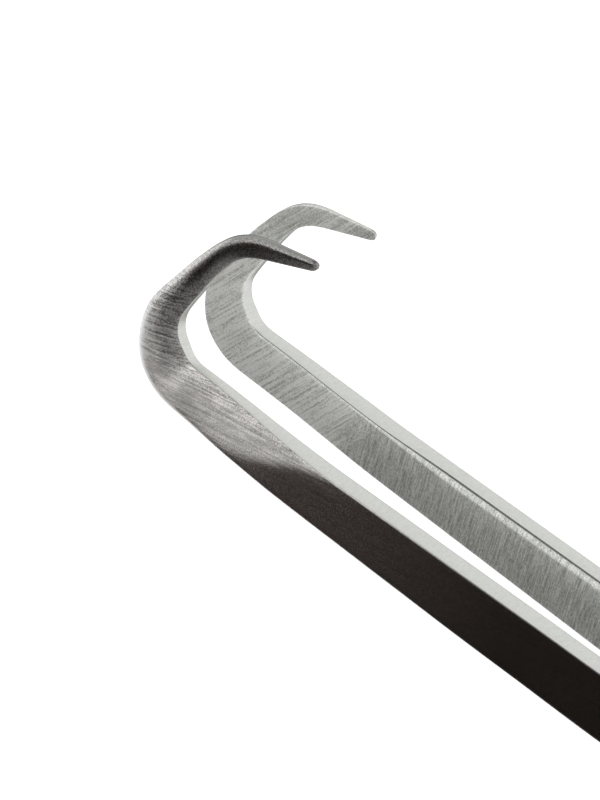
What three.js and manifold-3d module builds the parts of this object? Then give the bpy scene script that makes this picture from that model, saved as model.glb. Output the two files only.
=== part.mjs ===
// Twin-hook hive tongs, in millimetres, +Z up.
// Two hooked arms cross at a half-lap pivot. Squeezing the handles closes the hooks on a
// hive frame. The tongs lie flat: +X runs from the hooks to the scraper blade, and the
// origin is under the middle of the tool's box, on the surface that it rests on.
import * as THREE from "three";
import { mergeVertices } from "three/addons/utils/BufferGeometryUtils.js";
import Module from "manifold-3d";

const wasm = await Module();
wasm.setup();

// ---- Driving dimensions ----
const gap = 0.3; // clearance kept between touching pieces
const midZ = 8; // height of the arms' middle plane
const pivotX = -17.8; // pivot axis
const pivotToHeel = 104.6; // pivot axis to the foot of the hook's heel bend
const jawGap = 15; // between the arms' flat inner faces, from the shanks to the tips
const barThickness = 4;

const heelRise = 0.7; // of the hook's foot above the arms' middle plane
const lowerHeel = { radius: 7.3, turn: 45 };
const upperHeel = { radius: 7.3, turn: 60.6 };
const upright = { length: 9.2 };
const crown = { radius: 7, turn: 56.9 };
const tip = { length: 8 };
// Width and thickness from the foot of the heel bend to the end of the tip.
const heelFoot = { width: 6.2, thickness: 3.2 };
const heelMiddle = { width: 6.6, thickness: 2.9 };
const heelTop = { width: 4.4, thickness: 2.5 };
const crownFoot = { width: 3.0, thickness: 2.0 };
const crownTop = { width: 2.4, thickness: 1.6 };
const tipEnd = { width: 1.3, thickness: 1.0 };
const shankFootWidth = 5.85; // the shank's even taper, carried on to the heel

const bossHeight = 9.6;
const bossRadius = 10;
const lapGap = 1.2; // between the two halves of the lap, for the wear washer
const neckThicknessAtBoss = 7;
const screwRadius = 3;
const threadRadius = 2.4;

const reinEnd = 120; // distances behind the pivot axis from here on
const grip = { from: 36, to: 98, tangHeight: 15, height: 16, depth: 5.6 };
const tangBlend = { into: 12, out: 5.4 }; // lengths over which the rein swells and narrows
const rivetStations = [45, 67, 89];
const rivetRadius = 2;
const springAt = 30;
const spring = { radius: 3.9, wire: 0.5, turns: 7, halfLength: 11.8 };
const rodRadius = 1.5;
const lockStudAt = 108;
const lockPinAt = 117;
const lockPinRadius = 1.5;
const lockEyeRadius = 4;
const lockEyeHeight = 9;
const rodSlack = { forward: 2.3, back: 0.2 }; // how far the rear arm slides along the limit rod
const lockPlate = { from: 13.1, to: 14.7, width: 6 };
const palm = { from: 110, to: 134, width: 12, bottom: 4.6, top: 8.4 };
const blade = { from: 114, neckEnd: 133, to: 150, width: 21.6, thickness: 2, edge: 0.5, bevel: 8 };
const bladeRivetStations = [119.5, 128.5];
const bladeRivetRadius = 1.5;

// Plan of an arm from its straight shank, over the pivot, to the end of its rein:
// distance behind the pivot axis, then offset towards the side that its hook is on.
const shankOffset = (jawGap + barThickness) / 2;
const armPlan = new THREE.SplineCurve([
  new THREE.Vector2(-46, shankOffset),
  new THREE.Vector2(-32, shankOffset),
  new THREE.Vector2(-18, 8.2),
  new THREE.Vector2(0, 0),
  new THREE.Vector2(18, -11.6),
  new THREE.Vector2(32, -15),
  new THREE.Vector2(62, -17),
  new THREE.Vector2(92, -16.2),
  new THREE.Vector2(reinEnd, -12.6),
]);
const neckStart = -46;

const frontSide = -1;
const rearSide = 1;
const radians = THREE.MathUtils.degToRad;
const lerp = THREE.MathUtils.lerp;
const smoothstep = THREE.MathUtils.smoothstep;

// ---- Solids ----
function solidOf(geometry) {
  const bare = geometry.index ? geometry.toNonIndexed() : geometry.clone();
  bare.deleteAttribute("normal");
  bare.deleteAttribute("uv");
  const merged = mergeVertices(bare, 1e-4);
  const triVerts = new Uint32Array(merged.index.array);
  const vertProperties = new Float32Array(merged.attributes.position.array);
  const made = new wasm.Manifold(new wasm.Mesh({ numProp: 3, vertProperties, triVerts }));
  if (made.volume() > 0) return made;
  for (let i = 0; i < triVerts.length; i += 3) {
    [triVerts[i + 1], triVerts[i + 2]] = [triVerts[i + 2], triVerts[i + 1]];
  }
  return new wasm.Manifold(new wasm.Mesh({ numProp: 3, vertProperties, triVerts }));
}

function geometryOf(solid) {
  const mesh = solid.getMesh();
  const positions = new Float32Array(mesh.numVert * 3);
  for (let i = 0; i < mesh.numVert; i++) {
    positions.set(mesh.vertProperties.subarray(i * mesh.numProp, i * mesh.numProp + 3), i * 3);
  }
  const indexed = new THREE.BufferGeometry();
  indexed.setAttribute("position", new THREE.BufferAttribute(positions, 3));
  indexed.setIndex(new THREE.BufferAttribute(new Uint32Array(mesh.triVerts), 1));
  const flat = indexed.toNonIndexed();
  flat.computeVertexNormals();
  return flat;
}

// An upright cylinder from z0 to z1 about a point of the plan.
function post(x, y, radius, z0, z1, sides = 32) {
  const geometry = new THREE.CylinderGeometry(radius, radius, z1 - z0, sides);
  geometry.rotateX(Math.PI / 2);
  geometry.translate(x, y, (z0 + z1) / 2);
  return solidOf(geometry);
}

function ringWasher(radius, holeRadius, z0, z1) {
  return post(pivotX, 0, radius, z0, z1, 48).subtract(
    post(pivotX, 0, holeRadius, z0 - 1, z1 + 1, 48),
  );
}

// A closed skin over a row of rings that all have the same number of points.
function loft(rings) {
  const count = rings[0].length;
  const points = rings.flat();
  const index = [];
  for (let r = 0; r + 1 < rings.length; r++) {
    for (let i = 0; i < count; i++) {
      const a = r * count + i;
      const b = r * count + ((i + 1) % count);
      index.push(a, b, b + count, a, b + count, a + count);
    }
  }
  const last = (rings.length - 1) * count;
  for (let i = 1; i + 1 < count; i++) {
    index.push(0, i + 1, i);
    index.push(last, last + i, last + i + 1);
  }
  const geometry = new THREE.BufferGeometry().setFromPoints(points);
  geometry.setIndex(index);
  return solidOf(geometry);
}

// A bar's section: a rectangle with its four corners cut.
function barRing(station) {
  const { centre, lateral, normal, width, thickness } = station;
  const cut = Math.min(0.7, 0.24 * Math.min(width, thickness));
  const a = thickness / 2;
  const b = width / 2;
  const corners = [
    [a, cut - b],
    [a, b - cut],
    [a - cut, b],
    [cut - a, b],
    [-a, b - cut],
    [-a, cut - b],
    [cut - a, -b],
    [a - cut, -b],
  ];
  return corners.map(([across, up]) =>
    centre.clone().addScaledVector(lateral, across).addScaledVector(normal, up),
  );
}

// ---- The arms ----
// Where an arm's middle runs at a distance behind the pivot, and its sideways direction.
function planAt(distance, side) {
  let low = 0;
  let high = 1;
  for (let i = 0; i < 40; i++) {
    const middle = (low + high) / 2;
    if (armPlan.getPoint(middle).x < distance) low = middle;
    else high = middle;
  }
  const point = armPlan.getPoint(low);
  const tangent = armPlan.getTangent(low);
  return {
    centre: new THREE.Vector3(pivotX + point.x, side * point.y, midZ),
    lateral: new THREE.Vector3(-tangent.y * side, tangent.x, 0).normalize(),
    normal: new THREE.Vector3(0, 0, 1),
  };
}

// The hook from the foot of its heel bend to its tip: straight and round stretches.
function hookStations(side) {
  const stretches = [
    { ...lowerHeel, steps: 5, from: heelFoot, to: heelMiddle },
    { ...upperHeel, steps: 7, from: heelMiddle, to: heelTop },
    { ...upright, steps: 3, from: heelTop, to: crownFoot },
    { ...crown, steps: 7, from: crownFoot, to: crownTop },
    { ...tip, steps: 4, from: crownTop, to: tipEnd },
  ];
  const at = new THREE.Vector2(pivotX - pivotToHeel, midZ + heelRise);
  let heading = Math.PI;
  const stations = [];
  for (const stretch of stretches) {
    const turn = radians(stretch.turn ?? 0) / stretch.steps;
    const chord = turn
      ? 2 * stretch.radius * Math.sin(turn / 2)
      : stretch.length / stretch.steps;
    for (let i = 1; i <= stretch.steps; i++) {
      const along = heading - turn / 2;
      at.x += chord * Math.cos(along);
      at.y += chord * Math.sin(along);
      heading -= turn;
      const { from, to } = stretch;
      const thickness = lerp(from.thickness, to.thickness, i / stretch.steps);
      stations.push({
        centre: new THREE.Vector3(at.x, side * (jawGap + thickness) / 2, at.y),
        lateral: new THREE.Vector3(0, 1, 0),
        normal: new THREE.Vector3(Math.sin(heading), 0, -Math.cos(heading)),
        width: lerp(from.width, to.width, i / stretch.steps),
        thickness,
      });
    }
  }
  return stations;
}

const shankWidth = (fromHeel) => lerp(shankFootWidth, bossHeight, fromHeel / pivotToHeel);

// The straight shank from the heel, where it rises, widens and thins, back to the neck.
function shankStations(side) {
  const stations = [];
  const length = pivotToHeel + neckStart;
  const steps = 14;
  for (let i = 0; i < steps; i++) {
    const fromHeel = (length * i) / steps;
    const widened = (heelFoot.width - shankFootWidth) * (1 - smoothstep(fromHeel, 0, 14));
    const thickness = lerp(heelFoot.thickness, barThickness, smoothstep(fromHeel, 0, 18));
    stations.push({
      centre: new THREE.Vector3(
        pivotX - pivotToHeel + fromHeel,
        (side * (jawGap + thickness)) / 2,
        midZ + heelRise * (1 - smoothstep(fromHeel, 0, 24)),
      ),
      lateral: new THREE.Vector3(0, 1, 0),
      normal: new THREE.Vector3(0, 0, 1),
      width: shankWidth(fromHeel) + widened,
      thickness,
    });
  }
  return stations;
}

const neckThickness = (distance) =>
  lerp(neckThicknessAtBoss, barThickness, smoothstep(Math.abs(distance), 6, 26));

function neckStations(side) {
  const stations = [];
  const steps = 14;
  for (let i = 0; i <= steps; i++) {
    const distance = neckStart * (1 - i / steps);
    stations.push({
      ...planAt(distance, side),
      width: shankWidth(pivotToHeel + distance),
      thickness: neckThickness(distance),
    });
  }
  return stations;
}

// The rein swells into a tang as tall as the handle scales, and narrows again behind them.
function reinStations(side, end) {
  const stations = [];
  const steps = 34;
  for (let i = 0; i <= steps; i++) {
    const distance = (end * i) / steps;
    const into = smoothstep(distance, grip.from - tangBlend.into, grip.from);
    const out = smoothstep(distance, grip.to, grip.to + tangBlend.out);
    stations.push({
      ...planAt(distance, side),
      width: lerp(bossHeight - 0.6 * smoothstep(distance, 10, 24), grip.tangHeight, into - out),
      thickness: neckThickness(distance),
    });
  }
  return stations;
}

// One half of the lap joint: the round boss, and the clearance for the other arm's boss.
function lapHalf(blank, lower) {
  const bottom = midZ - bossHeight / 2;
  const top = midZ + bossHeight / 2;
  const from = lower ? bottom : midZ + lapGap / 2;
  const to = lower ? midZ - lapGap / 2 : top;
  const clearFrom = lower ? to : bottom - 1;
  const clearTo = lower ? top + 1 : from;
  return blank
    .add(post(pivotX, 0, bossRadius, from, to, 64))
    .subtract(post(pivotX, 0, bossRadius + 2 * gap, clearFrom, clearTo, 64))
    .subtract(post(pivotX, 0, screwRadius + gap, bottom - 1, top + 1, 48));
}

function armBlank(side, end) {
  const forward = [...hookStations(side).reverse(), ...shankStations(side), ...neckStations(side)];
  const back = reinStations(side, end);
  return loft(forward.map(barRing)).add(loft(back.map(barRing)));
}

// A round pin lying across a rein, along its sideways direction.
function crossPost(distance, side, radius, from, to, sides = 24) {
  const { centre, lateral } = planAt(distance, side);
  const geometry = new THREE.CylinderGeometry(radius, radius, to - from, sides);
  geometry.translate(0, (from + to) / 2, 0);
  const turn = new THREE.Quaternion().setFromUnitVectors(new THREE.Vector3(0, 1, 0), lateral);
  geometry.applyQuaternion(turn);
  geometry.translate(centre.x, centre.y, centre.z);
  return solidOf(geometry);
}

function drillForRivets(blank, side) {
  return rivetStations.reduce(
    (solid, distance) => solid.subtract(crossPost(distance, side, rivetRadius + gap, -9, 9)),
    blank,
  );
}

// A hole straight across the tool for the limit rod, lengthened in X by an amount each way.
function rodHole(side, forwardSlack, backSlack) {
  const y = planAt(springAt, side).centre.y;
  const hole = (x) => {
    const geometry = new THREE.CylinderGeometry(rodRadius + gap, rodRadius + gap, 12, 24);
    geometry.translate(pivotX + springAt + x, y, midZ);
    return solidOf(geometry);
  };
  if (!forwardSlack && !backSlack) return hole(0);
  const slot = new THREE.BoxGeometry(forwardSlack + backSlack, 12, 2 * (rodRadius + gap));
  slot.translate(pivotX + springAt + (backSlack - forwardSlack) / 2, y, midZ);
  return hole(-forwardSlack).add(hole(backSlack)).add(solidOf(slot));
}

function eyeBoss(distance, side) {
  const { centre } = planAt(distance, side);
  return post(centre.x, centre.y, lockEyeRadius, midZ - lockEyeHeight / 2, midZ + lockEyeHeight / 2);
}

function eyeHole(distance, side) {
  const { centre } = planAt(distance, side);
  return post(centre.x, centre.y, lockPinRadius + gap, 0, 16);
}

// The arm whose hook is on the -Y side. Its rein ends in the palm that carries the blade.
function frontArm() {
  const palmY = planAt(palm.from, frontSide).centre.y;
  const length = palm.to - palm.from;
  const slab = new THREE.BoxGeometry(length, palm.width, palm.top - palm.bottom);
  slab.translate(pivotX + palm.from + length / 2, palmY, (palm.bottom + palm.top) / 2);
  const blank = armBlank(frontSide, blade.from - gap)
    .add(eyeBoss(lockStudAt, frontSide))
    .add(solidOf(slab));
  const lapped = lapHalf(blank, true);
  const holed = bladeRivetStations.reduce(
    (solid, distance) =>
      solid.subtract(post(pivotX + distance, palmY, bladeRivetRadius + gap, 0, 16)),
    drillForRivets(lapped, frontSide),
  );
  return holed.subtract(rodHole(frontSide, 0, 0)).subtract(eyeHole(lockStudAt, frontSide));
}

// The arm whose hook is on the +Y side. Its rein ends in the eye of the lock link's pin.
function rearArm() {
  const blank = armBlank(rearSide, lockPinAt).add(eyeBoss(lockPinAt, rearSide));
  return drillForRivets(lapHalf(blank, false), rearSide)
    .subtract(rodHole(rearSide, rodSlack.forward, rodSlack.back))
    .subtract(eyeHole(lockPinAt, rearSide));
}

// ---- The pivot ----
const washerThickness = 0.6;
const washerTop = midZ + bossHeight / 2 + gap + washerThickness;

function turned(profile, sides = 48) {
  const points = profile.map(([radius, z]) => new THREE.Vector2(radius, z));
  const geometry = new THREE.LatheGeometry(points, sides);
  geometry.rotateX(Math.PI / 2);
  return geometry;
}

function pivotScrew() {
  const seat = washerTop + gap;
  const shoulder = midZ - bossHeight / 2;
  const geometry = turned([
    [0, 0.4],
    [threadRadius, 0.4],
    [threadRadius, shoulder],
    [screwRadius, shoulder],
    [screwRadius, seat],
    [6.2, seat],
    [6.5, seat + 0.4],
    [6.2, seat + 1.6],
    [4.8, seat + 2.2],
    [0, seat + 2.4],
  ]);
  geometry.translate(pivotX, 0, 0);
  const slot = new THREE.BoxGeometry(14, 1.4, 3);
  slot.translate(pivotX, 0, seat + 1 + 1.5);
  return solidOf(geometry).subtract(solidOf(slot));
}

function pivotNut() {
  return post(pivotX, 0, 5.8, 0, midZ - bossHeight / 2 - gap, 6).subtract(
    post(pivotX, 0, threadRadius + gap, -1, 5, 40),
  );
}

const upperWasher = () =>
  ringWasher(7, screwRadius + gap, washerTop - washerThickness, washerTop);

const wearWasher = () =>
  ringWasher(9, screwRadius + gap, midZ - washerThickness / 2, midZ + washerThickness / 2);

// ---- The handles ----
// A scale's section: flat against the tang, flat underneath and on top, round outside.
function scaleRing(distance, side, outward) {
  const { centre, lateral, normal } = planAt(distance, side);
  const middle = (grip.from + grip.to) / 2;
  const along = Math.abs(distance - middle) / ((grip.to - grip.from) / 2);
  const deep = grip.depth * (1 - 0.45 * along ** 5);
  const tall = (grip.height / 2) * (1 - 0.07 * along ** 8);
  const face = barThickness / 2 + gap;
  const outline = [
    [0, -0.9],
    [0.12, -1],
    [0.62, -1],
    [0.86, -0.72],
    [0.98, -0.3],
    [0.98, 0.3],
    [0.86, 0.72],
    [0.62, 1],
    [0.12, 1],
    [0, 0.9],
  ];
  return outline.map(([across, up]) =>
    centre
      .clone()
      .addScaledVector(lateral, outward * (face + across * deep))
      .addScaledVector(normal, up * tall),
  );
}

function handleScale(side, outward) {
  const rings = [];
  const steps = 14;
  for (let i = 0; i <= steps; i++) {
    rings.push(scaleRing(lerp(grip.from, grip.to, i / steps), side, outward));
  }
  return drillForRivets(loft(rings), side);
}

function handleRivet(distance, side) {
  const half = barThickness / 2 + gap + grip.depth * 0.98;
  return crossPost(distance, side, rivetRadius, -half, half);
}

// ---- The spring and the rod that limits how far the jaws open ----
class HelixAlongY extends THREE.Curve {
  getPoint(t, target = new THREE.Vector3()) {
    const angle = t * spring.turns * 2 * Math.PI;
    return target.set(
      pivotX + springAt + spring.radius * Math.cos(angle),
      lerp(-spring.halfLength, spring.halfLength, t),
      midZ + spring.radius * Math.sin(angle),
    );
  }
}

function returnSpring() {
  const section = new THREE.Shape();
  section.absarc(0, 0, spring.wire, 0, 2 * Math.PI);
  return solidOf(
    new THREE.ExtrudeGeometry(section, {
      steps: spring.turns * 12,
      curveSegments: 4,
      extrudePath: new HelixAlongY(),
    }),
  );
}

const reinOutside = () => Math.abs(planAt(springAt, rearSide).centre.y) + barThickness / 2 + 0.5;

function limitRod() {
  const outside = reinOutside();
  const geometry = new THREE.LatheGeometry(
    [
      [0, -outside - 5],
      [rodRadius, -outside - 5],
      [rodRadius, outside + 0.3],
      [2.8, outside + 0.3],
      [2.4, outside + 1.3],
      [0, outside + 1.6],
    ].map(([radius, y]) => new THREE.Vector2(radius, y)),
    24,
  );
  geometry.translate(pivotX + springAt, 0, midZ);
  return solidOf(geometry);
}

function limitNut() {
  const from = reinOutside() + gap;
  const geometry = new THREE.CylinderGeometry(3.4, 3.4, 3.2, 6);
  geometry.translate(pivotX + springAt, -from - 1.6, midZ);
  const hole = new THREE.CylinderGeometry(rodRadius + gap, rodRadius + gap, 6, 24);
  hole.translate(pivotX + springAt, -from - 1.6, midZ);
  return solidOf(geometry).subtract(solidOf(hole));
}

// ---- The scraper blade ----
function scraperBlade() {
  const y = planAt(palm.from, frontSide).centre.y;
  const neck = palm.width / 2;
  const half = blade.width / 2;
  const outline = new THREE.Shape();
  outline.moveTo(blade.from, -neck);
  outline.lineTo(blade.neckEnd - 6, -neck);
  outline.bezierCurveTo(blade.neckEnd, -neck, blade.neckEnd, -half, blade.neckEnd + 7, -half);
  outline.lineTo(blade.to, -half);
  outline.lineTo(blade.to, half);
  outline.lineTo(blade.neckEnd + 7, half);
  outline.bezierCurveTo(blade.neckEnd, half, blade.neckEnd, neck, blade.neckEnd - 6, neck);
  outline.lineTo(blade.from, neck);
  const bottom = palm.top + gap;
  const plate = new THREE.ExtrudeGeometry(outline, {
    depth: blade.thickness,
    bevelEnabled: false,
    curveSegments: 10,
  });
  plate.translate(pivotX, y, bottom);
  const bevel = new THREE.Shape();
  bevel.moveTo(blade.to - blade.bevel, blade.thickness);
  bevel.lineTo(blade.to + 1, blade.edge - (blade.thickness - blade.edge) / blade.bevel);
  bevel.lineTo(blade.to + 1, blade.thickness + 1);
  bevel.lineTo(blade.to - blade.bevel, blade.thickness + 1);
  const wedge = new THREE.ExtrudeGeometry(bevel, { depth: 2 * blade.width, bevelEnabled: false });
  wedge.rotateX(Math.PI / 2);
  wedge.translate(pivotX, y + blade.width, bottom);
  const ground = solidOf(plate).subtract(solidOf(wedge));
  return bladeRivetStations.reduce(
    (solid, distance) => solid.subtract(post(pivotX + distance, y, bladeRivetRadius + gap, 0, 16)),
    ground,
  );
}

function bladeRivet(distance) {
  const y = planAt(palm.from, frontSide).centre.y;
  const under = palm.bottom - gap;
  const over = palm.top + gap + blade.thickness + gap;
  const geometry = turned(
    [
      [0, under - 1.2],
      [1.8, under - 0.9],
      [2.6, under],
      [bladeRivetRadius, under],
      [bladeRivetRadius, over],
      [2.6, over],
      [1.8, over + 0.9],
      [0, over + 1.2],
    ],
    24,
  );
  geometry.translate(pivotX + distance, y, 0);
  return solidOf(geometry);
}

// ---- The handle lock ----
// Turning the closed handles' direction into the rear arm's own frame gives the link its length.
export const closeAngle = radians(7.2);
const lockStud = planAt(lockStudAt, frontSide).centre;
const lockPin = planAt(lockPinAt, rearSide).centre;
const lockPinClosed = lockPin
  .clone()
  .sub(new THREE.Vector3(pivotX, 0, midZ))
  .applyAxisAngle(new THREE.Vector3(0, 0, 1), closeAngle)
  .add(new THREE.Vector3(pivotX, 0, midZ));
const lockReach = lockStud.distanceTo(lockPinClosed);
export const lockAngle =
  Math.atan2(lockStud.y - lockPinClosed.y, lockStud.x - lockPinClosed.x) - closeAngle;

// The link lies behind its pin when parked. Its open hook faces the way it swings.
function lockLink() {
  const { from, to, width } = lockPlate;
  const hookX = lockPin.x + lockReach;
  const slotRadius = lockPinRadius + gap;
  const block = (x0, x1, y0, y1) => {
    const box = new THREE.BoxGeometry(x1 - x0, y1 - y0, to - from);
    box.translate((x0 + x1) / 2, lockPin.y + (y0 + y1) / 2, (from + to) / 2);
    return solidOf(box);
  };
  const mouth = new THREE.BoxGeometry(2 * slotRadius, 8, 4);
  mouth.translate(hookX, lockPin.y + 4, (from + to) / 2);
  return post(lockPin.x, lockPin.y, lockEyeRadius, from, to)
    .add(block(lockPin.x, hookX, -width / 2, width / 2))
    .add(post(hookX, lockPin.y, slotRadius + 2.7, from, to))
    .subtract(post(lockPin.x, lockPin.y, slotRadius, from - 1, to + 1))
    .subtract(post(hookX, lockPin.y, slotRadius, from - 1, to + 1))
    .subtract(solidOf(mouth));
}

function headedPin(centre) {
  const seat = lockPlate.to + gap;
  const geometry = turned(
    [
      [0, midZ - lockEyeHeight / 2],
      [lockPinRadius, midZ - lockEyeHeight / 2],
      [lockPinRadius, seat],
      [2.8, seat],
      [2.8, seat + 0.7],
      [2.3, seat + 1.2],
      [0, seat + 1.3],
    ],
    24,
  );
  geometry.translate(centre.x, centre.y, 0);
  return solidOf(geometry);
}

// ---- Assembly ----
const groundSteel = { color: 0x9a9a99, roughness: 0.35, metalness: 1 };
const brightSteel = { color: 0xc2c3c4, roughness: 0.22, metalness: 1 };
const springSteel = { color: 0x6f7073, roughness: 0.4, metalness: 1 };
const bronze = { color: 0xa97c45, roughness: 0.4, metalness: 1 };
const oiledWood = { color: 0x7a4a26, roughness: 0.6, metalness: 0 };

const tongs = new THREE.Group();

function place(name, solid, finish) {
  const mesh = new THREE.Mesh(geometryOf(solid), new THREE.MeshStandardMaterial(finish));
  mesh.name = name;
  tongs.add(mesh);
}

place("front_arm", frontArm(), groundSteel);
place("rear_arm", rearArm(), groundSteel);
place("pivot_screw", pivotScrew(), brightSteel);
place("pivot_nut", pivotNut(), brightSteel);
place("upper_washer", upperWasher(), brightSteel);
place("wear_washer", wearWasher(), bronze);
place("return_spring", returnSpring(), springSteel);
place("limit_rod", limitRod(), brightSteel);
place("limit_nut", limitNut(), brightSteel);
place("scraper_blade", scraperBlade(), groundSteel);
bladeRivetStations.forEach((distance, i) =>
  place(`blade_rivet_${i + 1}`, bladeRivet(distance), brightSteel),
);
for (const [end, side] of [
  ["front", rearSide],
  ["rear", frontSide],
]) {
  place(`${end}_handle_outer_scale`, handleScale(side, end === "front" ? -1 : 1), oiledWood);
  place(`${end}_handle_inner_scale`, handleScale(side, end === "front" ? 1 : -1), oiledWood);
  rivetStations.forEach((distance, i) =>
    place(`${end}_handle_rivet_${i + 1}`, handleRivet(distance, side), brightSteel),
  );
}
place("lock_link", lockLink(), brightSteel);
place("lock_pin", headedPin(lockPin), brightSteel);
place("lock_stud", headedPin(lockStud), brightSteel);

export default tongs;
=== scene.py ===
"""Looks of the twin-hook hive tongs: ground stainless arms, oiled wood handles, bright fasteners."""

import math

import bmesh
import bpy
import numpy as np
from mathutils import Matrix, Vector


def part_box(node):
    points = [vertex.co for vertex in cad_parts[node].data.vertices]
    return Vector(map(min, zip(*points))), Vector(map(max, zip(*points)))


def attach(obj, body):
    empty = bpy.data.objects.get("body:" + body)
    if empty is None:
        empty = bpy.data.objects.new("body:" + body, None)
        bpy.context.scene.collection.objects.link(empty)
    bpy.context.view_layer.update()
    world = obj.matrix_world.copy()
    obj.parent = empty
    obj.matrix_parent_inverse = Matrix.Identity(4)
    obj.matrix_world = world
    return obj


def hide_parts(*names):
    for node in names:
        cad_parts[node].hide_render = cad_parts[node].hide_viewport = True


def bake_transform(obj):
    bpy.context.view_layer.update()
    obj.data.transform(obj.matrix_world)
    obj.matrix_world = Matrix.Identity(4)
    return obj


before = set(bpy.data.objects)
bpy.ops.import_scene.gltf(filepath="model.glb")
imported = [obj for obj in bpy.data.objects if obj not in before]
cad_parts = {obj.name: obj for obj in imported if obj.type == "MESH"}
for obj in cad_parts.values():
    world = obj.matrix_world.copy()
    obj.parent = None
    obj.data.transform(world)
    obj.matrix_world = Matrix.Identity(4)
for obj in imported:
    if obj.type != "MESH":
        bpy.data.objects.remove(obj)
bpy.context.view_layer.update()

MM = 0.001

# ---- Sizes, in millimetres, and places from the frame ----
pivot_low, pivot_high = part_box("pivot_screw")
PIVOT_X = (pivot_low.x + pivot_high.x) / 2 / MM
MID_Z = 8.0
PIVOT_TO_HEEL = 104.6
HEEL_X = PIVOT_X - PIVOT_TO_HEEL
JAW_GAP = 15.0
BAR_THICKNESS = 4.0
HEEL_RISE = 0.7
HEEL_RADIUS, HEEL_TURNS = 7.3, (45.0, 60.6)
UPRIGHT_LENGTH = 9.2
CROWN_RADIUS, CROWN_TURN = 7.0, 56.9
TIP_LENGTH = 8.0
SHANK_FOOT_WIDTH, HEEL_FOOT_WIDTH, HEEL_FOOT_THICKNESS = 5.85, 6.2, 3.2
BOSS_HEIGHT = 9.6
BOSS_RADIUS = 10.0
BOSS_BOTTOM, BOSS_TOP = MID_Z - BOSS_HEIGHT / 2, MID_Z + BOSS_HEIGHT / 2
LAP_GAP = 1.2
NECK_THICKNESS = 7.0
SCREW_RADIUS, THREAD_RADIUS = 3.0, 2.4
CLEARANCE = 0.3
REIN_END = 120.0
GRIP_FROM, GRIP_TO = 36.0, 98.0
TANG_HEIGHT, GRIP_HEIGHT, GRIP_DEPTH = 15.0, 16.0, 5.6
TANG_BLEND_IN, TANG_BLEND_OUT = 12.0, 5.4
RIVET_STATIONS = (45.0, 67.0, 89.0)
RIVET_RADIUS = 2.0
SPRING_AT, SPRING_TURNS, SPRING_RADIUS, WIRE_RADIUS, SPRING_HALF = 30.0, 7.0, 3.9, 0.5, 11.8
ROD_RADIUS, ROD_SLACK_FORWARD, ROD_SLACK_BACK = 1.5, 2.3, 0.2
LOCK_STUD_AT, LOCK_PIN_AT = 108.0, 117.0
LOCK_PIN_RADIUS, EYE_RADIUS, EYE_HEIGHT = 1.5, 4.0, 9.0
PLATE_FROM, PLATE_TO, PLATE_WIDTH = 13.1, 14.7, 6.0
PALM_FROM, PALM_TO, PALM_WIDTH, PALM_BOTTOM, PALM_TOP = 110.0, 134.0, 12.0, 4.6, 8.4
BLADE_FROM, BLADE_NECK_END, BLADE_TO, BLADE_WIDTH = 114.0, 133.0, 150.0, 21.6
BLADE_THICKNESS, BLADE_EDGE, BLADE_BEVEL = 2.0, 0.5, 8.0
BLADE_RIVETS = (119.5, 128.5)
FRONT, REAR = -1, 1

SHANK_OFFSET = (JAW_GAP + BAR_THICKNESS) / 2
NECK_START = -46.0
ARM_PLAN = np.array([
    (NECK_START, SHANK_OFFSET), (-32, SHANK_OFFSET), (-18, 8.2), (0, 0), (18, -11.6),
    (32, -15), (62, -17), (92, -16.2), (REIN_END, -12.6),
])


def smoothstep(x, low, high):
    t = np.clip((x - low) / (high - low), 0, 1)
    return t * t * (3 - 2 * t)


# ---- Mesh helpers ----
def mesh_object(name, verts_mm, faces, sharp_deg=35):
    """A new object from points in millimetres. Edges that turn by sharp_deg or more stay crisp."""
    mesh = bpy.data.meshes.new(name)
    mesh.from_pydata([tuple(float(c) * MM for c in v) for v in verts_mm], [], faces)
    mesh.update()
    piece = bpy.data.objects.new(name, mesh)
    bpy.context.scene.collection.objects.link(piece)
    finish_mesh(piece, sharp_deg)
    return piece


def finish_mesh(piece, sharp_deg=35):
    """Closes up doubled points, faces every side out, shades smooth and marks crisp edges."""
    work = bmesh.new()
    work.from_mesh(piece.data)
    bmesh.ops.remove_doubles(work, verts=work.verts, dist=1e-7)
    bmesh.ops.recalc_face_normals(work, faces=work.faces)
    limit = math.radians(sharp_deg)
    for face in work.faces:
        face.smooth = True
    for edge in work.edges:
        edge.smooth = len(edge.link_faces) == 2 and edge.calc_face_angle(0) < limit
    work.to_mesh(piece.data)
    work.free()
    piece.data.update()


def loft(name, rings, sharp_deg=35):
    """A closed skin over rings of equal count, with flat ends."""
    rings = np.asarray(rings, float)
    rows, count = rings.shape[:2]
    faces = []
    for r in range(rows - 1):
        for i in range(count):
            j = (i + 1) % count
            faces.append((r * count + i, r * count + j, (r + 1) * count + j, (r + 1) * count + i))
    faces.append(tuple(range(count - 1, -1, -1)))
    faces.append(tuple((rows - 1) * count + i for i in range(count)))
    return mesh_object(name, rings.reshape(-1, 3), faces, sharp_deg)


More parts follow.
